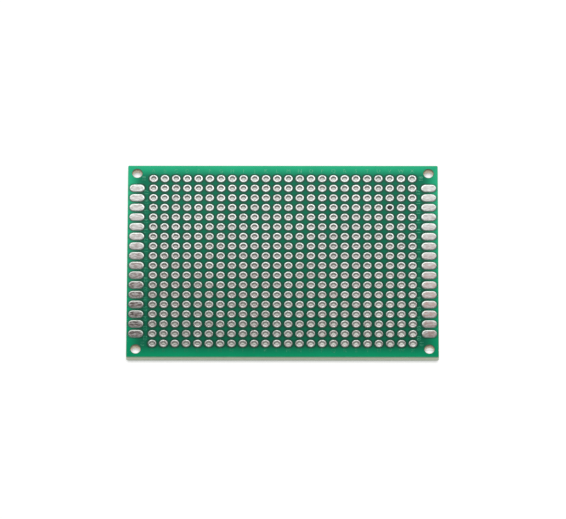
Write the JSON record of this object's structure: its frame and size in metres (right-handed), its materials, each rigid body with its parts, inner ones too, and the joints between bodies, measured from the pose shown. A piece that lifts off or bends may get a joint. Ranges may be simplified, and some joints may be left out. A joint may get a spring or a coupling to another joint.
{
  "type": "prototype board",
  "caption": "Flat green prototype board with a square grid of tinned plated holes, oval pads down both short sides and a fixing hole in each corner.",
  "frame": {"origin": "middle of the board, on the plane of the lower pads' faces that the board rests on", "axes": "+X along the long side, +Y along the short side towards the far row, +Z out of the upper face"},
  "size_m": [0.07, 0.05, 0.0017],
  "materials": {
    "laminate": "sawn and drilled glass-epoxy, matt",
    "solder_mask": "smooth green coat, semi-gloss",
    "tinned_copper": "hot-tinned, bright and slightly uneven",
    "legend_ink": "thin printed index, matt",
    "flux_residue": "dark residue in one hole, matt"
  },
  "bodies": {
    "root": {"substrate": "laminate", "top_solder_mask": "solder_mask", "underside_solder_mask": "solder_mask", "plated_holes_row_01": "tinned_copper", "plated_holes_row_02": "tinned_copper", "plated_holes_row_03": "tinned_copper", "plated_holes_row_04": "tinned_copper", "plated_holes_row_05": "tinned_copper", "plated_holes_row_06": "tinned_copper", "plated_holes_row_07": "tinned_copper", "plated_holes_row_08": "tinned_copper", "plated_holes_row_09": "tinned_copper", "plated_holes_row_10": "tinned_copper", "plated_holes_row_11": "tinned_copper", "plated_holes_row_12": "tinned_copper", "plated_holes_row_13": "tinned_copper", "plated_holes_row_14": "tinned_copper", "plated_holes_row_15": "tinned_copper", "plated_holes_row_16": "tinned_copper", "plated_holes_row_17": "tinned_copper", "plated_holes_row_18": "tinned_copper", "edge_pads_left_top": "tinned_copper", "edge_pads_right_top": "tinned_copper", "edge_pads_left_bottom": "tinned_copper", "edge_pads_right_bottom": "tinned_copper"}
  },
  "joints": []
}
